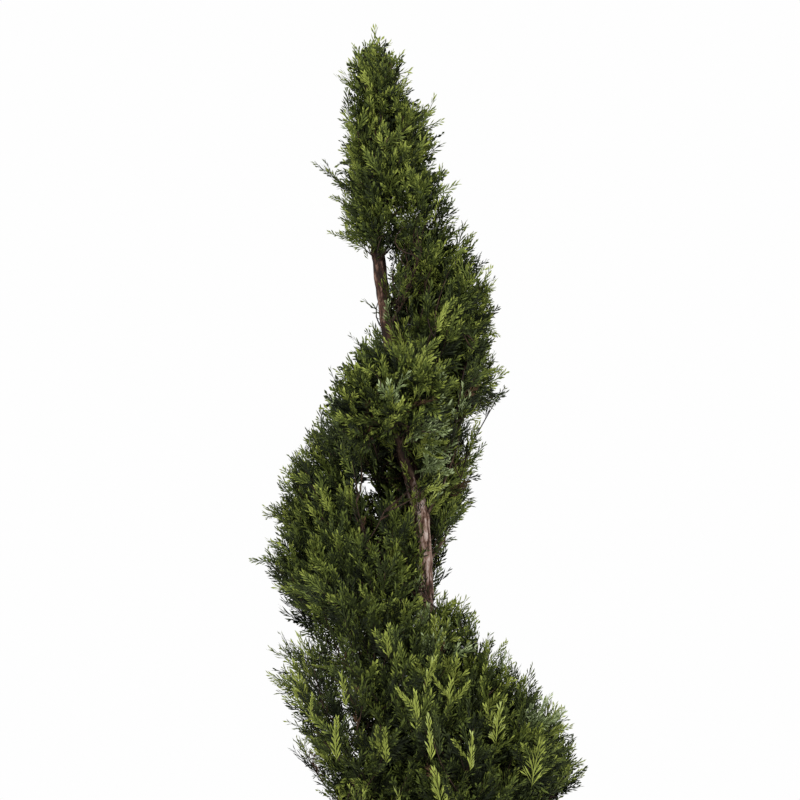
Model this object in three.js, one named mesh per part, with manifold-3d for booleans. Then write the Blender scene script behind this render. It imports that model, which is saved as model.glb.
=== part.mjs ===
// Spiral topiary: a cypress clipped so that its crown winds down the trunk as one left-handed band.
// Millimetres, +Z up. The origin is the flat cut under the trunk; +X is right and +Y is the back.
import * as THREE from 'three';
import { mergeVertices } from 'three/addons/utils/BufferGeometryUtils.js';
import Module from 'manifold-3d';

const wasm = await Module();
wasm.setup();

const totalHeight = 1700;

// Heights along the trunk: how far it leans to the right and to the back there, and its radius.
const trunkStations = [
  [0, 0, 0, 17.5],
  [300, 2, 3, 16],
  [700, -2, 4, 13.5],
  [950, -9, 2, 11.5],
  [1080, -17, 0, 10.6],
  [1160, -37, 0, 10],
  [1290, -54, 1, 9.4],
  [1420, -71, 0, 8.2],
  [1670, -77, 0, 2.2],
];
const trunkSides = 10;
const trunkSteps = 26;
const flareSpread = 0.42; // how much wider the foot of the trunk is than the trunk over it
const flareHeight = 38;
const flareRoots = 5;

// Turns down the band, from its start at the right: the height of its ledge and of its foot at the
// trunk, how far it reaches out, and how late it turns in below its widest place. A whole number of
// turns is on the right, a quarter more at the back.
const bandStations = [
  [-0.14, 1510, 1230, 100, 1.4],
  [0, 1545, 1020, 150, 1.2],
  [0.12, 1480, 985, 162, 1.4],
  [0.25, 1385, 890, 178, 1.8],
  [0.35, 1328, 790, 190, 1.8],
  [0.42, 1270, 700, 200, 1.8],
  [0.5, 1244, 608, 208, 1.8],
  [0.62, 1120, 520, 208, 1.8],
  [0.75, 1000, 450, 212, 1.8],
  [1, 978, 275, 207, 1.8],
  [1.25, 800, 165, 224, 1.8],
  [1.5, 590, 134, 236, 1.8],
  [1.75, 395, 128, 240, 1.8],
  [2.08, 215, 128, 222, 1.8],
];
const shoulder = 0.335; // share of the band's height from its ledge down to its widest place
const bandMasses = 13;

// Heights in the cone over the band: its radius there, and how far it swells out to the right.
const coneStations = [
  [1400, 84, 38],
  [1518, 68, 25],
  [1570, 58, 20],
  [1609, 47, 11],
  [1661, 30, 3],
  [1700, 7, 0],
];
const coneSplit = 1562; // where the mass round the tip meets the one under it
const coneSlit = 1.5;
const coneTop = 1686;
const coneFoot = 1422; // on the left and in front, where the groove bares the trunk
const coneFootRise = 70; // how much higher it meets the band, right and behind

// The clump left in front of the trunk, across the groove.
const clumpCentre = new THREE.Vector3(-56, -82, 1224);
const clumpReach = new THREE.Vector3(84, 72, 76);
const clumpCore = 0.5;

const boughRise = 52;
const boughRadius = 6;
const boughTipRadius = 3.8;
const boughSides = 6;
const hollow = 30; // how far the masses keep off the trunk where their boughs come in
const trunkRoom = 11;

const standOut = 28; // how far the clipped surface lies over a core
const underThinning = 16; // how much further it does so towards the foot of the band
const leastCore = 12;
const coneCore = 0.74;
const sprayLength = [68, 96];
const sprayPitch = 52; // about how far apart they stand across a mass
const sprayRows = 118; // and down it
const coneSprays = [52, 74];
const tipSprays = [44, 60];
const clumpSprays = [40, 56];
const leaderLength = 62;
const sprayThickness = 0.05;
const spraySunk = 0.24;
const strayShare = 0.2; // share of the sprays that stand further out, on a twig of their own
const strayLength = 16;
const twigRadius = 2.2;
const twigOverlap = 8;
const tries = 6; // how often a spray that would leave its space is turned before it is skipped

const spaceMargin = 2.5;
const touchGap = 0.3;
const scrapTolerance = 0.05;
const tau = 2 * Math.PI;
const up = new THREE.Vector3(0, 0, 1);

// Seeded random numbers, so that the plant is the same each time.
function seeded(seed) {
  let state = seed;
  return (low = 0, high = 1) => {
    state = (state + 0x6d2b79f5) | 0;
    let mixed = Math.imul(state ^ (state >>> 15), 1 | state);
    mixed = (mixed + Math.imul(mixed ^ (mixed >>> 7), 61 | mixed)) ^ mixed;
    return low + ((high - low) * ((mixed ^ (mixed >>> 14)) >>> 0)) / 4294967296;
  };
}

// A smooth run of sizes through a few stations, whose first column says where each is.
function runThrough(stations) {
  const keys = stations.map((row) => row[0]);
  const sizes = stations.flatMap((row) => row.slice(1));
  const curve = new THREE.CubicInterpolant(keys, sizes, stations[0].length - 1);
  return (at) => [...curve.evaluate(THREE.MathUtils.clamp(at, keys[0], keys.at(-1)))];
}

const trunkRun = runThrough(trunkStations);
const bandRun = runThrough(bandStations);
const coneRun = runThrough(coneStations);
const trunkTop = trunkStations.at(-1)[0];
const firstTurn = bandStations[0][0];
const lastTurn = bandStations.at(-1)[0];

function trunkAt(z) {
  const [x, y, radius] = trunkRun(z);
  return { x, y, radius };
}

// The underside of the cone, all round the trunk; the azimuth is in turns from the right.
function coneFloor(azimuth) {
  return coneFoot + coneFootRise * ((1 + Math.cos((azimuth - 1 / 12) * tau)) / 2) ** 2;
}

// The clipped surface of the band: its radius at one height of one turn.
function bandRadius(turn, z) {
  const [ledge, foot, reach, undercut] = bandRun(turn);
  const down = THREE.MathUtils.clamp((ledge - z) / (ledge - foot), 0, 1);
  const below = Math.max(0, (down - shoulder) / (1 - shoulder));
  const over = Math.sin((tau / 4) * (down / shoulder));
  const swell = down < shoulder ? over : Math.cos((tau / 4) * below ** undercut);
  const lumps = 1 + 0.07 * Math.sin(turn * tau * 5 + z / 37) * Math.sin(z / 23 + 1.3);
  return reach * swell * lumps;
}

function coneRadius(azimuth, z) {
  const [radius, shift] = coneRun(z);
  const lumps = 1 + 0.07 * Math.sin(azimuth * tau * 3 + z / 19);
  return (radius + shift * Math.cos(azimuth * tau)) * lumps;
}

// Which turn of the band a place belongs to: the next one starts half-way across the groove.
function turnAt(azimuth, z) {
  let turn = azimuth > 1 + firstTurn ? azimuth - 1 : azimuth;
  while (turn + 1 <= lastTurn && z < (bandRun(turn)[1] + bandRun(turn + 1)[0]) / 2) turn += 1;
  return turn;
}

// Azimuth in turns, distance from the trunk's centre and height.
function aroundTrunk(point) {
  const centre = trunkAt(point.z);
  const x = point.x - centre.x;
  const y = point.y - centre.y;
  return { azimuth: (Math.atan2(y, x) / tau + 1) % 1, radius: Math.hypot(x, y), z: point.z };
}

function besideTrunk(azimuth, radius, z) {
  const centre = trunkAt(z);
  return new THREE.Vector3(
    centre.x + radius * Math.cos(azimuth * tau),
    centre.y + radius * Math.sin(azimuth * tau),
    z,
  );
}

function clumpDepth(point) {
  return point.clone().sub(clumpCentre).divide(clumpReach).length();
}

// A three.js shape with its vertices merged, each then moved to its place.
function shaped(geometry, place) {
  geometry.deleteAttribute('normal');
  geometry.deleteAttribute('uv');
  const merged = mergeVertices(geometry);
  const position = merged.attributes.position;
  for (let i = 0; i < position.count; i += 1) {
    position.setXYZ(i, ...place(new THREE.Vector3().fromBufferAttribute(position, i)));
  }
  return new wasm.Manifold(
    new wasm.Mesh({
      numProp: 3,
      vertProperties: new Float32Array(position.array),
      triVerts: new Uint32Array(merged.index.array),
    }),
  );
}

// The trunk, with flat rings from the cut at the ground to its tip. extra makes it wider all over.
function trunkSolid(extra) {
  const shape = new THREE.CylinderGeometry(1, 1, 1, trunkSides, trunkSteps);
  return shaped(shape, (vertex) => {
    const z = trunkTop * (vertex.y + 0.5) ** 1.5;
    const { x, y, radius } = trunkAt(z);
    const rib = 1 + 0.3 * Math.cos(flareRoots * Math.atan2(vertex.z, vertex.x));
    const flare = 1 + flareSpread * Math.exp(-z / flareHeight) * rib;
    const wide = radius * flare + extra;
    return [x + wide * vertex.x, y - wide * vertex.z, z];
  });
}

// A tapering limb, bough or twig along a curve.
function limbSolid(curve, rootRadius, tipRadius, sides, steps) {
  const frames = curve.computeFrenetFrames(steps);
  const shape = new THREE.CylinderGeometry(1, 1, 1, sides, steps);
  return shaped(shape, (vertex) => {
    const along = vertex.y + 0.5;
    const ring = Math.round(along * steps);
    const radius = THREE.MathUtils.lerp(rootRadius, tipRadius, along);
    return curve
      .getPoint(along)
      .addScaledVector(frames.normals[ring], radius * vertex.x)
      .addScaledVector(frames.binormals[ring], -radius * vertex.z);
  });
}

// One side of a spray one unit long, from its tip back to its root: how far along, how far aside.
const sprayOutline = [
  [1, 0],
  [0.77, 0.06],
  [0.71, 0.16],
  [0.5, 0.07],
  [0.38, 0.18],
  [0.2, 0.055],
  [0, 0],
];
const sprayMiddle = 0.45;
const alternate = 0.06; // how far the teeth of one side stand ahead of the other's

function sprayShape() {
  return new THREE.SphereGeometry(1, 2 * (sprayOutline.length - 1), 2);
}

// Draws the rim of that shape out to the toothed blade, and its poles in to the blade's two faces.
function sprayCorner(vertex) {
  if (Math.abs(vertex.y) > 0.5) return new THREE.Vector3(sprayMiddle, 0, (vertex.y * sprayThickness) / 2);
  const angle = Math.atan2(-vertex.z, vertex.x);
  const [along, aside] = sprayOutline[Math.round((Math.abs(angle) / Math.PI) * (sprayOutline.length - 1))];
  const ahead = aside > 0 && angle > 0 ? alternate : 0;
  return new THREE.Vector3(along + ahead, Math.sign(angle) * aside, 0);
}

// A spray from its root along a direction, turned about it by roll.
function sprayFrame(root, along, length, roll) {
  const side = new THREE.Vector3().crossVectors(up, along).normalize().applyAxisAngle(along, roll);
  const face = new THREE.Vector3().crossVectors(along, side);
  return (corner) =>
    root
      .clone()
      .addScaledVector(along, corner.x * length)
      .addScaledVector(side, corner.y * length)
      .addScaledVector(face, corner.z * length);
}

const sprayCorners = [];
shaped(sprayShape(), (vertex) => {
  sprayCorners.push(sprayCorner(vertex));
  return vertex;
}).delete();

// The limbs that foliage keeps clear of: points down the middle of each, with the radius there.
const limbPoints = [];

function clearOfLimbs(point) {
  const place = aroundTrunk(point);
  if (place.z < trunkTop && place.radius < trunkAt(place.z).radius + spaceMargin) return false;
  return limbPoints.every(({ centre, radius }) => centre.distanceTo(point) > radius + spaceMargin);
}

// A bough, its root cut to the trunk, and the line on which the stem of its mass goes on.
function makeBough(root, tip) {
  const bend = root.clone().lerp(tip, 0.5);
  bend.z -= 5;
  const curve = new THREE.QuadraticBezierCurve3(root, bend, tip);
  for (let i = 0; i <= 12; i += 1) {
    const radius = THREE.MathUtils.lerp(boughRadius, boughTipRadius, i / 12);
    limbPoints.push({ centre: curve.getPoint(i / 12), radius });
  }
  const rough = limbSolid(curve, boughRadius, boughTipRadius, boughSides, 4);
  return { solid: rough.subtract(trunkClear), tip, along: curve.getTangent(1) };
}

const trunk = trunkSolid(0);
const trunkClear = trunkSolid(touchGap);
const trunkWide = trunkSolid(4);

// The direction out of a mass's clipped surface.
function outwardAt(surface, a, b) {
  const step = 0.02;
  const across = surface(Math.min(a + step, 1), b, 1).sub(surface(Math.max(a - step, 0), b, 1));
  const down = surface(a, Math.min(b + step, 1), 1).sub(surface(a, Math.max(b - step, 0), 1));
  return down.cross(across).normalize();
}

// One mass of foliage, grown from its stem: twigs run from the heart of the mass out through its core
// and carry sprays. space tests whether a point lies in the mass's own space; surface gives the point
// at across, down and depth of the mass, each from 0 to 1, where depth 0 is its inside and 1 its
// clipped surface, and coreAt gives the point on the core under it.
function makeMass({ seed, core, stem, space, surface, coreAt, across, down, lengths, lift, extra = [] }) {
  const random = seeded(seed);
  const heart = stem.from.clone().addScaledVector(stem.along, stem.length);
  const parts = [core, ...extra];
  parts.push(limbSolid(new THREE.LineCurve3(stem.from, heart), stem.radius, stem.radius * 0.6, 5, 1));
  const free = (point) => space(point) && clearOfLimbs(point);

  function grow(a, b) {
    const length = random(...lengths);
    const stray = random() < strayShare;
    const sway = new THREE.Vector3(random(-1, 1), random(-1, 1), random(-0.5, 0.5)).multiplyScalar(0.35);
    const along = outwardAt(surface, a, b).addScaledVector(up, lift).add(sway).normalize();
    const foot = coreAt(a, b);
    const root = foot.clone().addScaledVector(along, -spraySunk * length);
    const roll = random(-0.9, 0.9);
    const grown = [];
    if (stray) {
      root.addScaledVector(along, strayLength);
      const tip = root.clone().addScaledVector(along, twigOverlap);
      const twig = new THREE.LineCurve3(heart.clone().lerp(foot, 0.6), tip);
      if (![0.5, 0.75, 1].every((share) => free(twig.getPoint(share)))) return null;
      grown.push(limbSolid(twig, twigRadius, twigRadius * 0.7, 3, 1));
    }
    const frame = sprayFrame(root, along, length * (stray ? 0.85 : 1), roll);
    if (!sprayCorners.map(frame).every(free)) return null;
    grown.push(shaped(sprayShape(), (vertex) => frame(sprayCorner(vertex))));
    return grown;
  }

  for (let column = 0; column < across; column += 1) {
    for (let row = 0; row < down; row += 1) {
      let grown = null;
      for (let attempt = 0; attempt < tries && !grown; attempt += 1) {
        const a = (column + random(0.15, 0.85)) / across;
        grown = grow(a, (row + random(0.1, 0.9)) / down);
      }
      if (grown) parts.push(...grown);
    }
  }
  return wasm.Manifold.union(parts);
}

// Squares a circle, so that neighbouring cores lie close; the result is a share from 0 to 1.
function squared(value) {
  return (Math.sign(value) * Math.abs(value) ** 0.5 + 1) / 2;
}

// One mass of the band, between two turns.
function bandMass(index) {
  const span = (lastTurn - firstTurn) / bandMasses;
  const from = firstTurn + index * span;
  const to = from + span;
  const middle = (from + to) / 2;

  const space = (point) => {
    const { azimuth, radius, z } = aroundTrunk(point);
    const turn = turnAt(azimuth, z);
    if (turn <= from || turn >= to) return false;
    const [ledge, foot] = bandRun(turn);
    const above = turn - 1 >= firstTurn ? (bandRun(turn - 1)[1] + ledge) / 2 : Infinity;
    const below = turn + 1 <= lastTurn ? (foot + bandRun(turn + 1)[0]) / 2 : 0;
    const beside = Math.min(Math.sin((turn - from) * tau), Math.sin((to - turn) * tau)) * radius;
    const ceiling = Math.min(above, coneFloor(azimuth));
    const clearOfClump = clumpDepth(point) > 1.04;
    return beside > spaceMargin && z < ceiling - spaceMargin && z > below + spaceMargin && clearOfClump;
  };

  const edge = 0.005; // turns kept free at each end
  const layer = (a, b, depth, thin) => {
    const turn = THREE.MathUtils.lerp(from + edge, to - edge, a);
    const [ledge, foot] = bandRun(turn);
    const top = Math.min(ledge - 10, coneFloor(turn) - 6);
    const z = THREE.MathUtils.lerp(top, foot + 16, b);
    const inner = trunkAt(z).radius + trunkRoom + hollow * Math.sin(Math.PI * b);
    const outer = Math.max(bandRadius(turn, z) - thin, inner + leastCore);
    return besideTrunk(turn, THREE.MathUtils.lerp(inner, outer, depth), z);
  };
  const surface = (a, b, depth) => layer(a, b, depth, 0);
  const coreThin = (b) => standOut + underThinning * b;
  const coreAt = (a, b) => layer(a, b, 1, coreThin(b));
  const core = shaped(new THREE.CylinderGeometry(1, 1, 1, 12, 7), (vertex) => {
    const b = 0.5 - vertex.y;
    return layer(squared(vertex.x), b, squared(vertex.z), coreThin(b));
  });

  const entry = surface(0.5, 0.42, 0);
  const { radius } = aroundTrunk(entry);
  const tip = besideTrunk(middle, radius - 5, entry.z);
  const root = besideTrunk(middle, 0, Math.max(entry.z - boughRise, 40));
  const bough = makeBough(root, tip);
  const stem = {
    from: tip.clone().addScaledVector(bough.along, touchGap),
    along: bough.along,
    length: 42,
    radius: boughTipRadius,
  };
  const [ledge, foot, reach] = bandRun(middle);
  const across = Math.max(3, Math.round(reach / sprayPitch));
  const down = Math.max(2, Math.round((ledge - foot) / sprayRows));
  const rule = { seed: 40 + index, core, stem, space, surface, coreAt, across, down };
  return { bough, mass: () => makeMass({ ...rule, lengths: sprayLength, lift: 1.35 }) };
}

// A mass of the cone, all round the trunk, between two heights.
function coneMass({ seed, low, high, across, down, lengths, lift, extra }) {
  const bottom = (azimuth) => Math.max(low, coneFloor(azimuth) + 4);
  const space = (point) => {
    const { azimuth, z } = aroundTrunk(point);
    const top = high < coneTop ? high : totalHeight + spaceMargin;
    return z > bottom(azimuth) + spaceMargin && z < top - spaceMargin;
  };
  const surface = (a, b, depth) => {
    const z = THREE.MathUtils.lerp(high, bottom(a), b);
    return besideTrunk(a, coneRadius(a, z) * depth, z);
  };
  const coreAt = (a, b) => surface(a, b, coneCore);
  const core = shaped(new THREE.CylinderGeometry(1, 1, 1, 12, 3), (vertex) => {
    const azimuth = Math.atan2(-vertex.z, vertex.x) / tau;
    return surface((azimuth + 1) % 1, 0.5 - vertex.y, Math.hypot(vertex.x, vertex.z) * coneCore);
  }).subtract(trunkWide);
  const stemHeight = (low + high) / 2;
  const along = new THREE.Vector3(0.7, -0.3, 0.6).normalize();
  const from = besideTrunk(0, 0, stemHeight);
  const stem = { from, along, length: 0.6 * coneRadius(0, stemHeight), radius: 3 };
  const rule = { seed, core, stem, space, surface, coreAt, across, down, lengths, lift, extra };
  return makeMass(rule).subtract(trunkClear);
}

// The leader: the spray that stands straight up at the very top.
function leaderSpray() {
  const tip = trunkAt(totalHeight);
  const root = new THREE.Vector3(tip.x, tip.y, totalHeight - leaderLength);
  const frame = sprayFrame(root, new THREE.Vector3(0.02, 0, 1).normalize(), leaderLength, tau / 4);
  return shaped(sprayShape(), (vertex) => frame(sprayCorner(vertex)));
}

// The clump in front of the trunk, on a bough of its own.
function clumpMass() {
  const lump = (x, y, z, depth) => {
    const uneven = 1 + 0.14 * Math.sin(4 * x + 5 * z) * Math.cos(3 * y - 2 * x);
    return new THREE.Vector3(x, y, z).multiplyScalar(depth * uneven).multiply(clumpReach).add(clumpCentre);
  };
  const surface = (a, b, depth) => {
    const height = Math.cos(Math.PI * b);
    const ring = Math.sqrt(1 - height * height);
    return lump(ring * Math.cos(a * tau), ring * Math.sin(a * tau), height, depth);
  };
  const space = (point) => clumpDepth(point) < 1;
  const coreAt = (a, b) => surface(a, b, clumpCore);
  const core = shaped(new THREE.SphereGeometry(1, 12, 7), ({ x, y, z }) => lump(x, -z, y, clumpCore));
  const tip = clumpCentre.clone().add(new THREE.Vector3(6, 32, -34));
  const bough = makeBough(besideTrunk(0.7, 0, clumpCentre.z - 118), tip);
  const stem = {
    from: tip.clone().addScaledVector(bough.along, touchGap),
    along: bough.along,
    length: 34,
    radius: boughTipRadius,
  };
  const rule = { seed: 7, core, stem, space, surface, coreAt, across: 6, down: 4 };
  return { bough, mass: () => makeMass({ ...rule, lengths: clumpSprays, lift: 0.4 }) };
}

// Only the largest body is kept, which drops loose scraps and fills sealed hollows.
function meshFrom(name, solid, material) {
  const pieces = solid.simplify(scrapTolerance).decompose();
  pieces.sort((one, other) => Math.abs(other.volume()) - Math.abs(one.volume()));
  const { vertProperties, triVerts } = pieces[0].getMesh();
  const geometry = new THREE.BufferGeometry();
  geometry.setAttribute('position', new THREE.BufferAttribute(vertProperties, 3));
  geometry.setIndex(new THREE.BufferAttribute(triVerts, 1));
  geometry.computeVertexNormals();
  const mesh = new THREE.Mesh(geometry, material);
  mesh.name = name;
  return mesh;
}

const bark = new THREE.MeshStandardMaterial({ color: 0x6b4a3d, roughness: 0.95, metalness: 0 });
const foliage = new THREE.MeshStandardMaterial({ color: 0x2f4a24, roughness: 0.8, metalness: 0 });

const topiary = new THREE.Group();
topiary.add(meshFrom('trunk', trunk, bark));

const clump = clumpMass();
const windings = Array.from({ length: bandMasses }, (_, index) => bandMass(index));
const numbered = (name, index) => `${name}_${String(index + 1).padStart(2, '0')}`;
windings.forEach(({ bough }, index) => topiary.add(meshFrom(numbered('bough', index), bough.solid, bark)));
topiary.add(meshFrom('clump_bough', clump.bough.solid, bark));

const tipRule = { seed: 3, low: coneSplit + coneSlit, high: coneTop, lengths: tipSprays, lift: 1.5 };
const coneRule = { seed: 5, low: coneFoot, high: coneSplit - coneSlit, lengths: coneSprays, lift: 0.9 };
topiary.add(meshFrom('tip_foliage', coneMass({ ...tipRule, across: 5, down: 3, extra: [leaderSpray()] }), foliage));
topiary.add(meshFrom('cone_foliage', coneMass({ ...coneRule, across: 8, down: 3 }), foliage));
windings.forEach(({ mass }, index) => topiary.add(meshFrom(numbered('foliage', index), mass(), foliage)));
topiary.add(meshFrom('front_clump', clump.mass(), foliage));

export default topiary;
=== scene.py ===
import math

import bmesh
import bpy
import numpy as np
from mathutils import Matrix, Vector, noise
from mathutils.kdtree import KDTree


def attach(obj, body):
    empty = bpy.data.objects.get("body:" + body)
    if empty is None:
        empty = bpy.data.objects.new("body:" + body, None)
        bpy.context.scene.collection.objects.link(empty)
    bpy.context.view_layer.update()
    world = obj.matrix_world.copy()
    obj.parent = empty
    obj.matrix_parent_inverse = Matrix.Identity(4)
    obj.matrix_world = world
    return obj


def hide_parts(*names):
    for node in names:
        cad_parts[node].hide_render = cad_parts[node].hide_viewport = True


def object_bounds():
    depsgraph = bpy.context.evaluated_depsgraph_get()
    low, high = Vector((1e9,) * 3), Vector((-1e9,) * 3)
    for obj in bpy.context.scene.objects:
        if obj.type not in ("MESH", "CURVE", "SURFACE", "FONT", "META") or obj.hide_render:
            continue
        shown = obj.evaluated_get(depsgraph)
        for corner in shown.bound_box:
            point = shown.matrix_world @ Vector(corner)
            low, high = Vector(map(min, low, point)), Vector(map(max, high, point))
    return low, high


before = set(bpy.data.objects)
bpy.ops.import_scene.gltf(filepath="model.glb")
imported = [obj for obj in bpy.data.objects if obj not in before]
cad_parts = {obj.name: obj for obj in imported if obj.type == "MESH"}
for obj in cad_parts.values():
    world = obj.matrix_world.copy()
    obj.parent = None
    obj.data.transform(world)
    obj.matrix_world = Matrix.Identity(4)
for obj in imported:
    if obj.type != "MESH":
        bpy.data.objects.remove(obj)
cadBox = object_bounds()
print("frame loaded,", len(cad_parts), "nodes")

# The rule of growth is in millimetres. Turns go round the trunk: 0 is right, a quarter the back.

trunk = {
    # height, lean to the right, lean to the back, radius
    "stations": [
        (0, 0, 0, 17.5), (300, 2, 3, 16), (700, -2, 4, 13.5), (950, -9, 2, 11.5), (1080, -17, 0, 10.6),
        (1160, -37, 0, 10), (1290, -54, 1, 9.4), (1420, -71, 0, 8.2), (1670, -77, 0, 2.2),
    ],
    "flareSpread": 0.42, "flareHeight": 38, "flareRoots": 5, "rootRib": 0.3,
}
band = {
    # turns down the band, height of its ledge, height of its foot, reach, how late it turns in below
    "stations": [
        (-0.14, 1510, 1230, 100, 1.4), (0, 1545, 1020, 150, 1.2), (0.12, 1480, 985, 162, 1.4),
        (0.25, 1385, 890, 178, 1.8), (0.35, 1328, 790, 190, 1.8), (0.42, 1270, 700, 200, 1.8),
        (0.5, 1244, 608, 208, 1.8), (0.62, 1120, 520, 208, 1.8), (0.75, 1000, 450, 212, 1.8),
        (1, 978, 275, 207, 1.8), (1.25, 800, 165, 224, 1.8), (1.5, 590, 134, 236, 1.8),
        (1.75, 395, 128, 240, 1.8), (2.08, 215, 128, 222, 1.8),
    ],
    "shoulder": 0.335, "masses": 13, "lump": 0.07, "lumpsRound": 5, "lumpHeights": (37, 23),
    "hollow": 30, "trunkRoom": 11, "leastDepth": 12, "ledgeRoom": 10, "footRoom": 16, "underCone": 6,
    "cells": (280, 60), "startCells": (14, 44), "endCells": (18, 10), "buried": 16,
}
cone = {
    # height, radius, swell to the right
    "stations": [(1400, 84, 38), (1518, 68, 25), (1570, 58, 20), (1609, 47, 11), (1661, 30, 3), (1700, 7, 0)],
    "top": 1690, "foot": 1422, "footRise": 70, "footRoom": 4, "footHighest": 1 / 12,
    "lump": 0.07, "lumpsRound": 3, "lumpHeight": 19, "cells": (48, 30),
}
clump = {"centre": (-56, -82, 1224), "reach": (84, 72, 76), "lump": 0.14, "cells": (36, 18)}

mm = (cadBox[1].z - cadBox[0].z) / cone["stations"][-1][0]
tau = 2 * math.pi
up = np.array((0.0, 0.0, 1.0))
dice = np.random.default_rng(4127)


def between(span):
    return dice.uniform(*span)


def give(spread):  # give or take up to this much
    return dice.uniform(-spread, spread)


def unit(vectors):
    return vectors / np.maximum(np.linalg.norm(vectors, axis=-1, keepdims=True), 1e-9)


def smoothRun(stations):  # a smooth run of sizes through stations, whose first column says where each is
    table = np.array(stations, float)
    keys, sizes = table[:, 0], table[:, 1:]
    secants = np.diff(sizes, axis=0) / np.diff(keys)[:, None]
    slopes = np.vstack([secants[:1], (secants[1:] + secants[:-1]) / 2, secants[-1:]])

    def sizesAt(at):
        at = np.clip(np.asarray(at, float), keys[0], keys[-1])
        i = np.clip(np.searchsorted(keys, at, side="right") - 1, 0, len(keys) - 2)
        gap = (keys[i + 1] - keys[i])[..., None]
        t = (at - keys[i])[..., None] / gap
        ahead = t * t * (3 - 2 * t)
        sizesHere = sizes[i] * (1 - ahead) + sizes[i + 1] * ahead
        sizesHere = sizesHere + gap * t * (1 - t) * (slopes[i] * (1 - t) - slopes[i + 1] * t)
        return np.moveaxis(sizesHere, -1, 0)

    return sizesAt


trunkRun, bandRun, coneRun = (smoothRun(shape["stations"]) for shape in (trunk, band, cone))
trunkTop = trunk["stations"][-1][0]
firstTurn, lastTurn = band["stations"][0][0], band["stations"][-1][0]
massSpan = (lastTurn - firstTurn) / band["masses"]


def byTrunk(turn, radius, z):  # the place this far from the trunk's middle
    x, y, _ = trunkRun(z)
    angle = np.asarray(turn) * tau
    return np.stack(np.broadcast_arrays(x + radius * np.cos(angle), y + radius * np.sin(angle), z), -1)


def fromTrunk(points):  # direction straight out of the trunk, and the distance from its middle
    x, y, _ = trunkRun(points[..., 2])
    out = np.stack((points[..., 0] - x, points[..., 1] - y, np.zeros_like(x)), -1)
    return unit(out), np.linalg.norm(out, axis=-1)


def wayOut(point):
    return fromTrunk(point[None])[0][0]


def coneFloor(turn):
    rise = (1 + np.cos((turn - cone["footHighest"]) * tau)) / 2
    return cone["foot"] + cone["footRise"] * rise ** 2


def bandRadius(turn, z):
    ledge, foot, reach, undercut = bandRun(turn)
    down = np.clip((ledge - z) / (ledge - foot), 0, 1)
    below = np.maximum(0, (down - band["shoulder"]) / (1 - band["shoulder"]))
    over = np.sin(tau / 4 * down / band["shoulder"])
    swell = np.where(down < band["shoulder"], over, np.cos(tau / 4 * below ** undercut))
    long, short = band["lumpHeights"]
    waves = np.sin(turn * tau * band["lumpsRound"] + z / long) * np.sin(z / short + 1.3)
    return reach * swell * (1 + band["lump"] * waves)


def bandPoint(turn, down, depth):  # depth runs from the hollow round the trunk, 0, to the clipped surface, 1
    ledge, foot = bandRun(turn)[:2]
    top = np.minimum(ledge - band["ledgeRoom"], coneFloor(turn) - band["underCone"])
    z = top + (foot + band["footRoom"] - top) * down
    inner = trunkRun(z)[2] + band["trunkRoom"] + band["hollow"] * np.sin(np.pi * down)
    outer = np.maximum(bandRadius(turn, z), inner + band["leastDepth"])
    return byTrunk(turn, inner + (outer - inner) * depth, z)


def bandCut(turn):  # the cut across the start or the end of the band
    return lambda depth, down, _: bandPoint(turn, down, depth)


def conePoint(turn, down, depth):
    foot = coneFloor(turn) + cone["footRoom"]
    z = cone["top"] + (foot - cone["top"]) * down
    radius, shift = coneRun(z)
    lumps = 1 + cone["lump"] * np.sin(turn * tau * cone["lumpsRound"] + z / cone["lumpHeight"])
    return byTrunk(turn, (radius + shift * np.cos(turn * tau)) * lumps * depth, z)


def clumpPoint(turn, down, depth):
    height = np.cos(np.pi * down)
    ring = np.sqrt(np.maximum(0, 1 - height * height))
    x, y, z = np.broadcast_arrays(ring * np.cos(turn * tau), ring * np.sin(turn * tau), height)
    lumps = 1 + clump["lump"] * np.sin(4 * x + 5 * z) * np.cos(3 * y - 2 * x)
    ball = np.stack((x, y, z), -1) * (lumps * depth)[..., None]
    return ball * clump["reach"] + clump["centre"]


def clippedSurface(place, first, last, cells):  # spots all over a mass: place, way out, area, turn
    stepA, stepB = (last - first) / cells[0], 1 / cells[1]
    a, b = np.meshgrid(first + stepA * (np.arange(cells[0]) + 0.5), stepB * (np.arange(cells[1]) + 0.5))
    a, b = a.ravel(), b.ravel()
    across = place(a + stepA / 2, b, 1) - place(a - stepA / 2, b, 1)
    down = place(a, b + stepB / 2, 1) - place(a, b - stepB / 2, 1)
    cross = np.cross(down, across)
    return {"at": place(a, b, 1), "out": unit(cross), "area": np.linalg.norm(cross, axis=1), "turn": a}


surfaces = {
    "band": clippedSurface(bandPoint, firstTurn, lastTurn, band["cells"]),
    "start": clippedSurface(bandCut(firstTurn), 0, 1, band["startCells"]),
    "end": clippedSurface(bandCut(lastTurn), 0.3, 1, band["endCells"]),
    "cone": clippedSurface(conePoint, 0, 1, cone["cells"]),
    "clump": clippedSurface(clumpPoint, 0, 1, clump["cells"]),
}
for name, turn, ahead in (("start", firstTurn, -0.25), ("end", lastTurn, 0.25)):
    surface = surfaces[name]
    surface["turn"] = np.full(len(surface["at"]), turn)
    surface["out"] = fromTrunk(byTrunk(turn + ahead, 9, surface["at"][:, 2]))[0]


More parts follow.
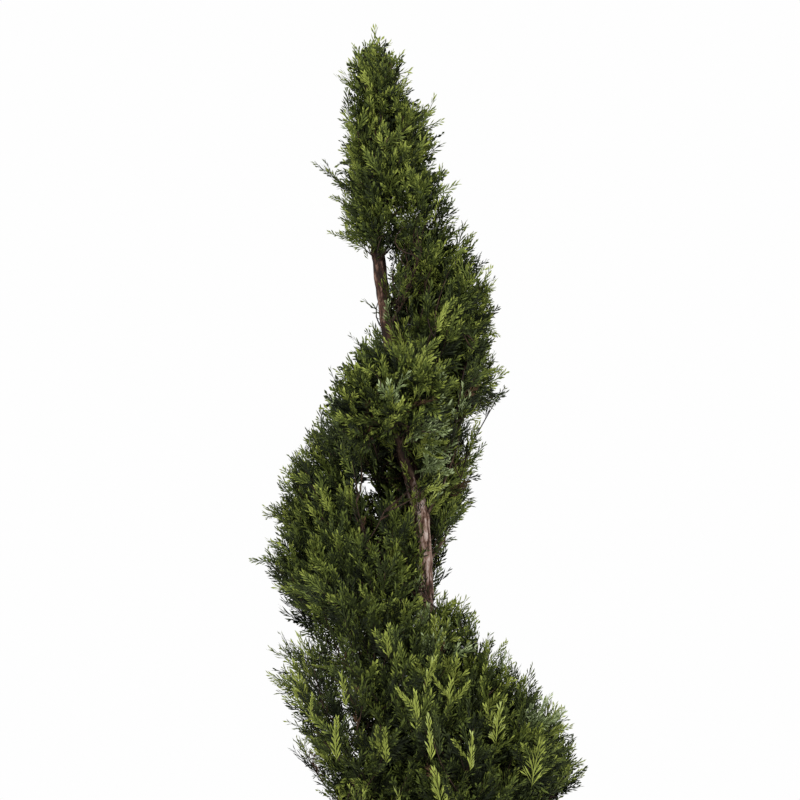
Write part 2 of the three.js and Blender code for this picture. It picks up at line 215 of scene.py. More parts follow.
def insideOf(name, points, over=0):  # whether points lie inside a mass, by more than over
    out, away = fromTrunk(points)
    z = points[:, 2]
    turn = (np.arctan2(out[:, 1], out[:, 0]) / tau + 1) % 1
    if name == "clump":
        reach = np.array(clump["reach"]) - over
        return np.linalg.norm((points - clump["centre"]) / reach, axis=1) < 1
    if name == "cone":
        radius, shift = coneRun(z)
        within = away < radius + shift * np.cos(turn * tau) - over
        return within & (z > coneFloor(turn) + over) & (z < cone["top"] - over)
    turn = np.where(turn > 1 + firstTurn, turn - 1, turn)
    for _ in range(2):
        groove = (bandRun(turn)[1] + bandRun(turn + 1)[0]) / 2
        turn = np.where((turn + 1 <= lastTurn) & (z < groove), turn + 1, turn)
    return away < bandRadius(turn, z) - over


for name, surface in surfaces.items():  # spots well inside another mass carry no spray
    surface["bare"] = np.zeros(len(surface["at"]), bool)
    for other in ("band", "cone", "clump"):
        if other != name and not (name in ("start", "end") and other == "band"):
            surface["bare"] |= insideOf(other, surface["at"], band["buried"])
spots = {
    key: np.concatenate([surface[key] for surface in surfaces.values()])
    for key in ("at", "out", "area", "turn", "bare")
}
spots["name"] = np.concatenate([[name] * len(surface["at"]) for name, surface in surfaces.items()])
shown = np.flatnonzero(~spots["bare"])
surfaceTree = KDTree(len(shown))
for index in shown:
    surfaceTree.insert(spots["at"][index], index)
surfaceTree.balance()


def outsideBy(points):  # how far points lie out of the clipped surface, less than nothing inside
    away = np.array([surfaceTree.find(point)[2] for point in points])
    inside = insideOf("band", points) | insideOf("cone", points) | insideOf("clump", points)
    return np.where(inside, -away, away)


print("clipped surface", round(sum(s["area"].sum() for s in surfaces.values()) / 1e6, 2), "square metres")

# Limbs: the main boughs of the model, smaller ones between them, and the branches they fork into.

growth = {
    "boughRadii": (6, 3.8, 1.1), "boughRise": 52, "boughSag": 5, "stemLength": 42, "stemEnd": (0.3, 0.74),
    "boughForks": [(0.15, 0.2), (0.85, 0.34), (0.5, 0.5)],
    # share of a mass across and down at which its small limbs end
    "smallEnds": [(0.18, 0.16), (0.82, 0.3), (0.4, 0.52), (0.75, 0.72), (0.3, 0.9)],
    "smallRadius": (2.0, 3.0), "smallTip": 0.8, "smallRise": (60, 115), "smallForks": 3, "overFoot": 8,
    "forkFrom": 0.55, "forkSpan": 0.4, "forkSag": 0.16, "forkTaper": 0.55, "forkBearing": 0.3,
    "bearing": 0.35, "leastReach": 10, "golden": 0.618,
    "coneLimbs": 30, "coneRise": (22, 44), "trunkBearers": (1400, 14),
    "clumpLimbs": 14, "clumpRadii": (6, 3.8, 1.6), "clumpStem": 34, "clumpBearing": 0.62,
}
limbs = []  # the middle line of each, its radii, the limb it forks from and the station there
bearers, bearerLimbs = [], []  # places on limbs that twigs grow from, each with its limb and station


def placeAt(at, stations, run):
    return np.array([np.interp(at, stations, run[:, i]) for i in range(3)])


def bent(start, control, end, count):
    t = np.linspace(0, 1, count)[:, None]
    return start * (1 - t) ** 2 + control * 2 * t * (1 - t) + end * t * t


def addLimb(line, radii, bearing=growth["bearing"], fork=None):
    first = int(len(line) * bearing)
    bearers.extend(line[first:])
    bearerLimbs.extend((len(limbs), station) for station in range(first, len(line)))
    limbs.append((line, np.asarray(radii), fork))


def addBough(root, tip, end, stemLength, radii, bearing):  # out of the trunk to its tip, then on as a stem
    control = (root + tip) / 2 - up * growth["boughSag"]
    heart = tip + unit(tip - control) * stemLength
    line = np.vstack([bent(root, control, tip, 9), bent(tip, heart, end, 8)[1:]])
    addLimb(line, np.interp(np.arange(16), (0, 8, 15), radii), bearing)


def forkLimb(ends, radius):  # branches that leave the last limb along its outer half
    parent, line = len(limbs) - 1, limbs[-1][0]
    for n, end in enumerate(ends):
        station = int(len(line) * (growth["forkFrom"] + growth["forkSpan"] * n / len(ends)))
        root = line[station]
        control = (root + end) / 2 - up * np.linalg.norm(end - root) * growth["forkSag"]
        radii = np.linspace(radius, radius * growth["forkTaper"], 7)
        addLimb(bent(root, control, end, 7), radii, growth["forkBearing"], (parent, station))


for mass in range(band["masses"]):
    start = firstTurn + mass * massSpan
    middle = start + massSpan / 2
    entry = bandPoint(middle, 0.42, 0)
    tip = byTrunk(middle, fromTrunk(entry)[1] - 5, entry[2])
    root = byTrunk(middle, 0, max(entry[2] - growth["boughRise"], 40))
    end = bandPoint(middle, *growth["stemEnd"])
    addBough(root, tip, end, growth["stemLength"], growth["boughRadii"], growth["bearing"])
    forkLimb([bandPoint(start + massSpan * a, b, 0.8) for a, b in growth["boughForks"]], 1.4)
    for a, b in growth["smallEnds"]:
        turn = start + massSpan * (a + give(0.1))
        end = bandPoint(turn, b + give(0.05), dice.uniform(0.55, 0.68))
        rise = between(growth["smallRise"])
        lowest = bandRun(turn)[1] + growth["overFoot"]
        root = byTrunk(turn + give(0.03), 0, max(end[2] - rise, lowest))
        knee = byTrunk(turn, fromTrunk(end)[1] * 0.5, root[2] + (end[2] - root[2]) * 0.38)
        thick = between(growth["smallRadius"])
        addLimb(bent(root, knee, end, 12), np.linspace(thick, growth["smallTip"], 12))
        ends = []
        for _ in range(growth["smallForks"]):
            beside, down = turn + give(0.05), b + give(0.12)
            ends.append(bandPoint(beside, np.clip(down, 0.02, 0.98), 0.82))
        forkLimb(ends, 1.1)

for n in range(growth["coneLimbs"]):
    turn, down = n * growth["golden"], 0.12 + 0.84 * n / growth["coneLimbs"]
    end = conePoint(turn, down, 0.62)
    root = byTrunk(turn, 0, end[2] - between(growth["coneRise"]))
    knee = byTrunk(turn, fromTrunk(end)[1] * 0.5, root[2] + 8)
    addLimb(bent(root, knee, end, 7), np.linspace(1.3 + 1.9 * down, 1, 7))
lowestBearer, bearerStep = growth["trunkBearers"]
for z in np.arange(float(lowestBearer), trunkTop, bearerStep):
    bearers.append(byTrunk(0, 0, z))
    bearerLimbs.append((-1, 0))

clumpLimb = len(limbs)
clumpCentre = np.array(clump["centre"], float)
root, tip, end = byTrunk(0.7, 0, clumpCentre[2] - 118), clumpCentre + (6, 32, -34), (-22, -12, 14)
addBough(root, tip, clumpCentre + end, growth["clumpStem"], growth["clumpRadii"], growth["clumpBearing"])
forkLimb([
    clumpPoint(n * growth["golden"], 0.15 + 0.75 * n / growth["clumpLimbs"], 0.6)
    for n in range(growth["clumpLimbs"])
], 1.5)
bearers, onClump = np.array(bearers), np.array([limb >= clumpLimb for limb, _ in bearerLimbs])
print("limbs", len(limbs), "bearers", len(bearers))

# Twigs: each ends in a flat, alternately branched spray that reaches the clipped surface.

spray = {
    "gap": {"band": 22, "start": 20, "end": 22, "cone": 15, "clump": 18.5},  # between the ends of two sprays
    "axis": {"band": (62, 104), "start": (40, 70), "end": (60, 90), "cone": (36, 56), "clump": (44, 68)},
    "lift": {"band": 1.05, "start": 0.9, "end": 0.7, "cone": 1.25, "clump": 0.7},
    "tipOver": {"band": (-14, 2), "start": (-10, 6), "end": (-10, 4), "cone": (-7, 5), "clump": (-10, 4)},
    "outward": 0.55, "fromTrunk": 0.45, "sway": 0.58, "roll": 0.8, "tipRise": 0.5, "clothed": 0.85,
    "tipFrond": (34, 48), "youngTipFrond": (46, 66), "tipBend": 0.12, "firstSide": 0.42,
    "frondStep": 10, "stepSpread": (0.85, 1.15), "frondAngle": (22, 50), "frondBend": (0.05, 0.3),
    "frondLength": (26, 0.36), "frondMost": 60, "lengthSpread": (0.85, 1.12),
    "outOfPlane": 0.16, "twist": 0.28, "fold": (-0.16, 0.1), "bendOver": 50,
    "lowBearer": 10, "highBearerCost": 0.8, "farLimb": 1000, "farReach": 14, "twigRadii": (0.5, 0.85, 0.003),
    "innerGap": {"band": 26.5, "cone": 19, "clump": 24},
    "innerDepth": {"band": (30, 110), "cone": (12, 40), "clump": (20, 50)},
    "innerAxis": {"band": 64, "cone": 40, "clump": 64}, "innerLift": (0.2, 1), "looseAxis": 62,
}
mound = {  # sprays stand in tufts, each fanned out from one branch, with a hollow round it
    "gap": {"band": 58, "start": 50, "end": 58, "cone": 34, "clump": 40},
    "heart": {"band": 72, "start": 60, "end": 72, "cone": 36, "clump": 46},  # how deep a tuft spreads from
    # the tone term at the end paints shade: darker tints towards a tuft's rim, in the hollow round it
    "drop": 34, "swell": 5, "sink": 22, "rim": 0.6, "fan": 0.9, "toneSpread": 0.55, "paintedRimShade": 1.2,
}
shoots = [  # small sprays by the trunk and along the groove: how many, turns, heights, reach, axis, lift
    (30, (-0.2, 0.1), (1290, 1450), (30, 74), (34, 56), (1, 2.4)),
    (9, (-0.24, -0.1), (1310, 1440), (9, 24), (26, 40), (1, 3)),
    (14, (0.3, 0.5), (1290, 1400), (4, 15), (20, 32), (1, 2)),
    (16, (0.54, 0.65), (985, 1100), (18, 44), (40, 60), (2.5, 5)),
    (16, (0.5, 0.62), (1080, 1190), (26, 90), (40, 64), (1.2, 3)),
    (9, (0.92, 1.0), (936, 964), (26, 46), (34, 50), (2, 4)),
    (16, (0.84, 1.0), (890, 965), (10, 32), (34, 56), (2, 4)),
    (34, (-0.17, 0.02), (1110, 1230), (24, 66), (44, 70), (0.4, 1.4)),
    (14, (-0.08, 0.14), (1085, 1130), (12, 30), (34, 56), (0.6, 1.6)),
]
innerShoots = (74, (0.5, 0.82), (740, 930), (36, 100), (40, 60), (0, 1))
strays = [  # sprays that the shears missed: turn, height, reach, lift
    (0.5, 1518, 66, 0.7), (0.5, 1636, 38, 0.8), (0.52, 1440, 40, 0.6), (0.02, 1655, 36, 0.8),
    (0, 1590, 80, 0.7), (0.46, 1580, 30, 0.7), (0.5, 858, 194, 0.6), (1.3, 700, 222, 0.7),
    (0.79, 1157, 20, 5), (0.71, 1098, 19, 5), (0.64, 1066, 26, 5), (0.6, 1030, 30, 4),
    (0.73, 1128, 17, 5), (0.68, 1062, 18, 5), (0.7, 1016, 22, 4), (0.66, 1182, 26, 4), (0.58, 1440, 22, 2),
    (0.94, 1196, 74, 0.9), (0.9, 1168, 62, 0.7), (0.96, 1150, 60, 0.5), (0.86, 1212, 60, 1.2),
]
plumes = [  # tall fresh sprays before the front of the band: the x and z of their tips, how upright
    (-10, 897, 4), (20, 867, 3), (-20, 856, 4), (-4, 830, 5), (-110, 882, 3), (-61, 812, 3), (78, 838, 3),
    (124, 796, 2), (-91, 730, 3), (49, 803, 2), (-124, 822, 2), (10, 758, 3), (-40, 738, 4),
]
plumeOver = 4  # how far their tips stand out of the clipped surface
leaders = [  # turn, reach, height and length of the axis of the sprays at the tip
    (0, 3, 1701, 1), (0.5, 9, 1681, 1), (0.1, 6, 1668, 1), (0.75, 9, 1676, 1),
    (0.3, 10, 1670, 14), (0.6, 20, 1662, 14),
]
# Thin places: x, z, half width, half height, share left out; some have the y they stop at and a share inside.
sparse = [
    (-156, 850, 62, 130, 0.4, math.inf, 1.0),
    (-123, 1160, 14, 26, 0.8), (-87, 1108, 14, 23, 1), (-208, 944, 40, 24, 1), (12, 1609, 22, 16, 1),
    (-184, 682, 66, 54, 1), (-222, 878, 28, 34, 1), (-210, 930, 22, 14, 1), (200, 784, 24, 20, 1),
    (88, 1388, 18, 22, 0.9), (129, 889, 29, 23, 1), (168, 857, 29, 23, 1), (184, 832, 38, 22, 1),
    (46, 992, 30, 17, 1), (-122, 1292, 28, 27, 1), (-50, 1692, 13, 17, 1), (222, 748, 42, 26, 0.85),
    (222, 688, 62, 41, 1), (-66, 890, 24, 28, 0.85, -66), (-134, 1270, 34, 32, 1), (86, 1176, 32, 32, 1),
    (39, 1030, 30, 30, 1), (-42, 1128, 29, 50, 1, -6), (-11, 1212, 13, 22, 0.9, -40),
    (30, 1323, 18, 18, 0.8, -40), (-61, 1505, 14, 18, 0.7, -20),
]


def spacedOut(points, gap, order):  # a choice of points no two of which lie nearer than the gap
    kept, cells = [], {}
    around = [(i, j, k) for i in (-1, 0, 1) for j in (-1, 0, 1) for k in (-1, 0, 1)]
    for index in order:
        point = points[index]
        cell = tuple(int(v) for v in point // gap)
        near = (other for step in around for other in cells.get(tuple(c + s for c, s in zip(cell, step)), ()))
        if all(np.sum((points[other] - point) ** 2) > gap * gap for other in near):
            cells.setdefault(cell, []).append(index)
            kept.append(index)
    return np.array(kept)


def leftOut(points, inside):  # the chance that a frond at each point is missing; inside tells of inner sprays
    chance = np.zeros(len(points))
    for x, z, wide, tall, share, *more in sparse:
        before, shareInside = (*more, *(math.inf, share)[len(more):])
        across, along = (points[:, 0] - x) / wide, (points[:, 2] - z) / tall
        held = (across * across + along * along < 1) & (points[:, 1] < before)
        chance = np.where(held, np.maximum(chance, np.where(inside, shareInside, share)), chance)
    return chance


twigs, fronds = [], {}
tintNames = ["deep", "shade", "middle", "grey", "fresh", "young", "dead", "silver", "pale"]
deepTint, shadeTint, middleTint, greyTint, freshTint, youngTint, deadTint = range(7)
brightTints = (freshTint, youngTint)
tipTint = np.array([1, 2, 4, 7, 5, 8, 6])  # what each turns to at the tips of its fingers
tintChances = {  # share of sprays of each of the first six tints
    "band": (0.04, 0.4, 0.36, 0.04, 0.14, 0.02),
    "cone": (0.02, 0.38, 0.42, 0.04, 0.13, 0.01),
    "start": (0.02, 0.38, 0.42, 0.06, 0.11, 0.01),
    "clump": (0.03, 0.41, 0.4, 0.05, 0.1, 0.01),
    # inner sprays take mostly the darkest tints: painted shade for the inside of the crown
    "inner": (0.8, 0.18, 0.02, 0.0, 0.0, 0.0),
}
tintTone = np.array((-1.6, -0.8, 0.3, 0.3, 1.1, 1.5))
ownTints = [  # places, their reach, and how much likelier each of the six tints is in their middle
    ((-110, -150, 960), 120, (1, 1.5, 1, 1, 1.2, 3)),
    # painted shade: far likelier dark tints in the low front, in the hollow under the band
    ((-20, -200, 860), 160, (12, 5, 0.5, 0.3, 0.3, 0.5)),
    # partly the grey-blue colour of the fronds here, partly painted light: brighter tints for fronds in the
    # shade of the band's overhang
    ((36, -60, 1160), 130, (0.1, 0.1, 0.7, 50, 5, 3)),
    # painted shade: far likelier dark tints in the low front, in the hollow under the band
    ((-10, -200, 720), 210, (20, 8, 0.35, 0.3, 0.3, 1.2)),
    ((-80, -70, 1600), 110, (0.5, 0.8, 1, 1, 1.5, 2)),
    ((180, -80, 760), 170, (0.1, 0.3, 1.3, 1, 5, 7)),
    ((-160, -60, 800), 130, (0.05, 0.15, 1, 5, 5, 6)),
    # painted light: brighter tints for the back fronds of the thin left side, which lie in shade
    ((-160, 90, 780), 120, (0.1, 0.3, 1.5, 1, 5, 3)),
]
frondTints = {  # how often the fronds of a spray differ from its own tint
    # fronds farther than this back from the spray's tip take dark tints, the deepest for a share of them:
    # painted shade inside the spray
    "behind": 40, "paintedShadeBehind": 0.6, "calmer": 0.65, "varied": 0.3, "dead": 0.001, "deadInside": 0.012,
    "besidePlume": {shadeTint: 0.35, middleTint: 0.3, freshTint: 0.35},
}


def chancesAt(name, point, tone):
    chances = np.array(tintChances.get(name, tintChances["band"]))
    if name == "inner":
        return chances
    for middle, reach, more in ownTints:
        near = max(0, 1 - np.linalg.norm(point - middle) / reach)
        chances = chances * np.array(more) ** near
    chances = chances * np.exp(tintTone * tone)
    return chances / chances.sum()


def frondTint(tint, own, within, behind, terminal):  # own: the spray's tint wasn't drawn by lot
    shown = tint
    # fronds far back from the tip: painted shade
    if behind and not within:
        shown = deepTint if dice.random() < frondTints["paintedShadeBehind"] else min(tint, shadeTint)
    elif own and not terminal:
        shown = dice.choice(list(frondTints["besidePlume"]), p=list(frondTints["besidePlume"].values()))
    elif tint in brightTints and not terminal and dice.random() < frondTints["calmer"]:
        shown = middleTint
    elif dice.random() < frondTints["varied"] and tint < greyTint:
        shown = dice.choice((shadeTint, middleTint))
    died = dice.random() < frondTints["deadInside" if behind or within else "dead"]
    return deadTint if died and not terminal else shown


# free: 1 of the shears, 2 of openings as well; own: a tint that isn't drawn by lot
def growSpray(name, end, out, turn, axis, lift, free=0, tone=0, own=None):
    radial = wayOut(end)
    sway = dice.uniform(-1, 1, 3) * spray["sway"] * (0.5 if free == 2 else 1)
    way = unit(out * spray["outward"] + radial * spray["fromTrunk"] + up * lift + sway)
    control = end - way * axis
    tooHigh = np.maximum(0, bearers[:, 2] - control[2] + spray["lowBearer"])
    cost = np.linalg.norm(bearers - control, axis=1) + spray["highBearerCost"] * tooHigh
    cost += spray["farLimb"] * (onClump != insideOf("clump", end[None], -spray["farReach"])[0])
    borne = np.argmin(cost)
    line = bent(bearers[borne], control, end, 7)
    steps = np.linalg.norm(np.diff(line, axis=0), axis=1)
    fromEnd = np.append(np.cumsum(steps[::-1])[::-1], 0)
    tangent = np.array((-radial[1], radial[0], 0))
    roll = dice.normal(0, spray["roll"])
    tint = own or dice.choice(len(tintTone), p=chancesAt(name, end, tone))
    within = name == "inner"
    young = bool(own) or (tint == youngTint and not within)
    reachBack = min(axis, fromEnd[0] * spray["clothed"])
    sign = dice.choice((-1, 1))
    at, count = 0.0, 0
    while count == 0 or at < reachBack:
        spot, ahead = (placeAt(-back, -fromEnd, line) for back in (at, max(at - 8, 0)))
        forward = unit(ahead - spot) if count else way
        side = unit(tangent - forward * (tangent @ forward))
        face = np.cross(forward, side)
        side = side * math.cos(roll) + face * math.sin(roll)
        face = np.cross(forward, side)
        if count == 0:
            length = rootAt = between(spray["youngTipFrond" if young else "tipFrond"])
            rise = spray["tipRise"] * (tint in brightTints) * (1 + young)
            along = unit(forward + up * rise)
            spot = end - along * length
            bend, at = give(spray["tipBend"]), length * spray["firstSide"]
        else:
            rootAt = at
            angle = math.radians(between(spray["frondAngle"]))
            length = spray["frondLength"][0] + spray["frondLength"][1] * at
            length = min(length, spray["frondMost"]) * between(spray["lengthSpread"])
            aside = side * sign * math.sin(angle) + face * dice.normal(0, spray["outOfPlane"])
            along = unit(forward * math.cos(angle) + aside)
            bend = -sign * between(spray["frondBend"])
            sign = -sign
        faceNow = unit(face + side * dice.normal(0, spray["twist"]))
        sideNow = unit(np.cross(faceNow, along))
        if np.cross(along, sideNow) @ (out + up * 0.6) < 0:
            sideNow, bend = -sideNow, -bend
        shown = frondTint(tint, own, within, at > frondTints["behind"], count == 0)
        frond = {
            "root": spot, "along": along, "side": sideNow, "length": length, "bend": bend, "tint": shown,
            "fold": between(spray["fold"]), "lot": dice.random(), "turn": turn, "mass": name,
            "free": free or int(young and count == 0), "spray": len(twigs), "fromEnd": rootAt,
        }
        for key, value in frond.items():
            fronds.setdefault(key, []).append(value)
        at += spray["frondStep"] * between(spray["stepSpread"]) if count else 0
        count += 1
    thin, thick, perLength = spray["twigRadii"]
    radii = np.interp(fromEnd, (0, fromEnd[0]), (thin, thick + perLength * fromEnd[0]))
    twigs.append((line, radii, fromEnd, bearerLimbs[borne]))


def standSpray(name, turn, reach, z, *rest, **more):  # one whose tip points straight out of the trunk
    end = byTrunk(turn, reach, z)
    growSpray(name, end, wayOut(end), turn, *rest, **more)


def chosenSpots(gaps, order):
    names = spots["name"][order]
    return np.concatenate([spacedOut(spots["at"], gap, order[names == name]) for name, gap in gaps.items()])


weights = np.where(spots["bare"], 0, spots["area"])
order = dice.choice(len(weights), np.count_nonzero(weights), replace=False, p=weights / weights.sum())
outer, inner = chosenSpots(spray["gap"], order), chosenSpots(spray["innerGap"], order[::-1])
tufts = chosenSpots(mound["gap"], order)
tuftTone = dice.normal(0, mound["toneSpread"], len(tufts))
for i in outer:
    name, spot, out = str(spots["name"][i]), spots["at"][i], spots["out"][i]
    apart = np.linalg.norm(spots["at"][tufts] - spot, axis=1)
    tuft = np.argmin(apart)
    middle, outward = spots["at"][tufts[tuft]], spots["out"][tufts[tuft]]
    rim = min(apart[tuft] / (mound["rim"] * mound["gap"][name]), 1)
    fan = unit(spot - (middle - outward * mound["heart"][name] - up * mound["drop"]))
    proud = between(spray["tipOver"][name]) + mound["swell"] - mound["sink"] * rim * rim
    lift = spray["lift"][name] * dice.uniform(0.5, 1.3)
    axis = between(spray["axis"][name])
    way = unit(out + fan * mound["fan"])
    # besides the tuft's random tone, sprays near its rim get darker tints: painted shade in the hollows
    # between tufts
    tone = tuftTone[tuft] + mound["paintedRimShade"] * (0.45 - rim)
    growSpray(name, spot + out * proud, way, spots["turn"][i], axis, lift, tone=tone)
for name, count, *spans in [("band", *group) for group in shoots] + [("inner", *innerShoots)]:
    for _ in range(count):
        turn, z, reach, axis, lift = (between(span) for span in spans)
        standSpray(name, turn, reach, z, axis, lift, 1)
for turn, z, reach, lift in strays:
    standSpray("band", turn, reach, z, spray["looseAxis"], lift, 2)
for n, (x, z, lift) in enumerate(plumes):
    turn = 0.75
    for _ in range(4):
        turn = 1 - math.acos(np.clip((x - trunkRun(z)[0]) / bandRadius(turn, z), -0.95, 0.95)) / tau
    own = freshTint if n % 3 else youngTint
    standSpray("band", turn, bandRadius(turn, z) + plumeOver, z, spray["looseAxis"], lift, 2, own=own)
for turn, reach, z, axis in leaders:
    growSpray("cone", byTrunk(turn, reach, z), up, 0, axis, 6, 2)
for i in inner:
    name, out = str(spots["name"][i]), spots["out"][i]
    end = spots["at"][i] - out * between(spray["innerDepth"][name])
    axis, lift = spray["innerAxis"][name], between(spray["innerLift"])
    growSpray("inner", end, out, spots["turn"][i], axis, lift, name != "band")
fronds = {key: np.array(values) for key, values in fronds.items()}
print("sprays", len(outer), "and", len(inner), "inside, fronds", len(fronds["root"]))

# Clipping: a frond that would leave the crown is cut short at its surface, give or take the fringe.

shears = {
    "fringe": (-3, 7), "fringeSpan": (-12, 14), "leastShare": 0.45, "rootOut": 4, "trunkClear": 5,
    "lostShare": 0.35, "pastBox": (8, 8, 8), "pastTop": (8, 8, 4), "twigLeast": 5, "stationApart": 2,
}
roots = fronds["root"]
tips = roots + fronds["along"] * fronds["length"][:, None]
rootOut, tipOut = outsideBy(roots), outsideBy(tips)
fringe = np.clip(dice.normal(*shears["fringe"], len(roots)), *shears["fringeSpan"])
share = np.clip((fringe - rootOut) / np.maximum(tipOut - rootOut, 1e-6), 0, 1)
share = np.where((tipOut > fringe) & (fronds["free"] == 0), share, 1)
keep = ((share > shears["leastShare"]) & (rootOut < shears["rootOut"])) | (fronds["free"] > 0)
fronds["length"] = fronds["length"] * share
tips = roots + fronds["along"] * fronds["length"][:, None]
middles = (roots + tips) / 2
for points in (tips, middles):
    away = fromTrunk(points)[1]
    keep &= (away > trunkRun(points[:, 2])[2] + shears["trunkClear"]) | (points[:, 2] > trunkTop)
inside = np.zeros(len(twigs), bool)
inside[fronds["spray"][fronds["mass"] == "inner"]] = True
missing = dice.random(len(twigs)) < leftOut(np.array([line[-1] for line, *_ in twigs]), inside)
inOpening = leftOut(middles, False) >= 1
lost = np.bincount(fronds["spray"], inOpening, len(twigs))
missing |= lost > shears["lostShare"] * np.bincount(fronds["spray"], minlength=len(twigs))
keep &= ~(inOpening | missing[fronds["spray"]]) | (fronds["free"] == 2)
lowest, highest = np.array(cadBox[0]) / mm - shears["pastBox"], np.array(cadBox[1]) / mm + shears["pastTop"]
keep &= np.all((tips > lowest) & (tips < highest), axis=1)
fronds = {key: values[keep] for key, values in fronds.items()}
print("fronds kept", keep.sum())

outermost = np.full(len(twigs), np.inf)  # each twig ends where its outermost frond stands
np.minimum.at(outermost, fronds["spray"], fronds["fromEnd"])
twigRuns, lastStations = [], np.zeros(len(limbs), int)
mainBoughs = [n for n, (_, radii, _) in enumerate(limbs) if radii[0] == growth["boughRadii"][0]]
lastStations[mainBoughs] = growth["leastReach"]
for (line, radii, fromEnd, (limb, station)), cut in zip(twigs, outermost):
    if cut < fromEnd[0] - shears["twigLeast"]:
        stations = np.append(fromEnd[fromEnd > cut + shears["stationApart"]], cut)
        ends = [np.interp(-stations, -fromEnd, run) for run in (*line.T, radii)]
        twigRuns.append((np.stack(ends[:3], 1), ends[3]))
        if limb >= 0:
            lastStations[limb] = max(lastStations[limb], station)
for n in reversed(range(len(limbs))):  # and each limb at its last twig or fork
    line, radii, fork = limbs[n]
    if lastStations[n] and fork:
        lastStations[fork[0]] = max(lastStations[fork[0]], fork[1])
    limbs[n] = line[:lastStations[n] + 1], radii[:lastStations[n] + 1]
limbs = [limb for limb in limbs if len(limb[0]) > 2]
print("limbs that bear twigs", len(limbs))

# Fronds: an axis with alternate fingers of scale leaves, the larger ones branched again, each a small kite.

frondShape = {  # length, number of fingers, the longest and shortest of them, their angle at the foot and tip
    "short": (27, 13, 14, 7, 34, 18), "middle": (41, 18, 19, 8, 33, 17),
    "long": (55, 22, 24, 8, 32, 16), "plume": (48, 22, 13, 7.5, 32, 15),
}
frondUse = {  # below which lengths each shape is used, and how many of the rest become plumes
    "variants": 5, "lengths": (34, 48), "plumeShare": 0.3, "brightPlumeShare": 0.8, "plumeLengths": (30, 58),
}
finger = {
    "from": 0.05, "span": 0.93, "width": 2.15, "widest": 0.64, "pitch": 0.42, "roll": 0.9,
    "arch": (-0.08, 0.12), "angleSpread": 8, "reachSpread": (0.6, 1.2), "widthSpread": (0.85, 1.15),
    "stemWidth": 1.5, "stemCurl": 0.05,
    "forkFrom": 15, "forkAt": 0.4, "forkLength": 0.5, "forkAngle": 26, "forkWidth": 0.85,
    "litFrom": 0.86, "litShare": 0.75,
}
innerFrond = {"fingers": 0.6, "width": 1.9}  # plainer, wider ones inside, where they only close the view


def addCorners(bm, columns):
    return bmesh.ops.create_grid(bm, x_segments=columns, y_segments=1, size=0.5)["verts"]


def growStem(bm, length, width, curl):  # a narrow strip, pinched at both ends
    strip = addCorners(bm, 3)
    for vertex in strip:
        share = vertex.co.x + 0.5
        wide = 1 if 0 < round(share * 3) < 3 else 0
        vertex.co = (length * share, length * curl * share * share + vertex.co.y * width * wide, 0.4 * wide)
    bmesh.ops.remove_doubles(bm, verts=strip, dist=1e-4)


def growFinger(bm, lit, root, heading, length, width, roll, pitch, arch, light):
    for vertex in addCorners(bm, 1):
        ahead, aside = vertex.co.x + vertex.co.y, vertex.co.y - vertex.co.x
        share = (0, finger["widest"], 1)[round(ahead) + 1]
        offset = aside * width / 2
        vertex[lit] = int(light == 2 or (light == 1 and share == 1))
        vertex.co = (
            root[0] + length * share * math.cos(heading) - offset * math.sin(heading) * math.cos(roll),
            root[1] + length * share * math.sin(heading) + offset * math.cos(heading) * math.cos(roll),
            root[2] + length * (pitch * share + arch * (0 < share < 1)) + offset * math.sin(roll),
        )


def triangles(bm):  # points and corners of a shape, cut into triangles
    bmesh.ops.triangulate(bm, faces=bm.faces, quad_method="SHORT_EDGE")
    bm.verts.index_update()
    points = np.array([vertex.co[:] for vertex in bm.verts])
    return points, np.array([[vertex.index for vertex in face.verts] for face in bm.faces])


def growFrond(shape, fewer, wider):
    bm = bmesh.new()
    lit = bm.verts.layers.int.new("lit")
    length, fingers, longest, shortest, footAngle, tipAngle = shape
    fingers, width = round(fingers * fewer), finger["width"] * wider
    pitch, roll, litShare = finger["pitch"], finger["roll"], finger["litShare"]
    growStem(bm, length, finger["stemWidth"], give(finger["stemCurl"]))
    for n in range(fingers):
        at = finger["from"] + finger["span"] * n / (fingers - 1)
        sign = 1 if n % 2 else -1
        reach = shortest + (longest - shortest) * (1 - at) ** 0.7 * between(finger["reachSpread"])
        spread = math.radians(footAngle + (tipAngle - footAngle) * at + give(finger["angleSpread"]))
        light = 2 if at > finger["litFrom"] else int(dice.random() < litShare)
        rise = give(pitch)
        growFinger(
            bm, lit, (at * length, 0, 0), sign * spread, reach, width * between(finger["widthSpread"]),
            give(roll), rise, between(finger["arch"]), light,
        )
        if reach < finger["forkFrom"] or wider > 1:
            continue
        start = finger["forkAt"] * reach
        fork = (at * length + start * math.cos(spread), sign * start * math.sin(spread), start * rise)
        growFinger(
            bm, lit, fork, sign * (spread + math.radians(finger["forkAngle"])), reach * finger["forkLength"],
            width * finger["forkWidth"], give(roll), give(pitch), 0,
            int(dice.random() < litShare),
        )
    points, corners = triangles(bm)
    light = np.array([any(vertex[lit] for vertex in face.verts) for face in bm.faces])
    bm.free()
    return {"points": points, "corners": corners, "length": length, "light": light}


templates = []
for fewer, wider in ((1, 1), (innerFrond["fingers"], innerFrond["width"])):
    for shape in frondShape.values():
        templates += [growFrond(shape, fewer, wider) for _ in range(frondUse["variants"])]

length, lot = fronds["length"], fronds["lot"]
kind = np.digitize(length, frondUse["lengths"])
bright = np.isin(fronds["tint"], brightTints)
least, most = frondUse["plumeLengths"]
plumed = (lot < np.where(bright, frondUse["brightPlumeShare"], frondUse["plumeShare"])) & (length > least)
plumed &= (length < most) | (fronds["tint"] == youngTint)
kind = np.where(plumed, list(frondShape).index("plume"), kind)
kind += (fronds["mass"] == "inner") * len(frondShape)
fronds["template"] = kind * frondUse["variants"] + (lot * 997).astype(int) % frondUse["variants"]


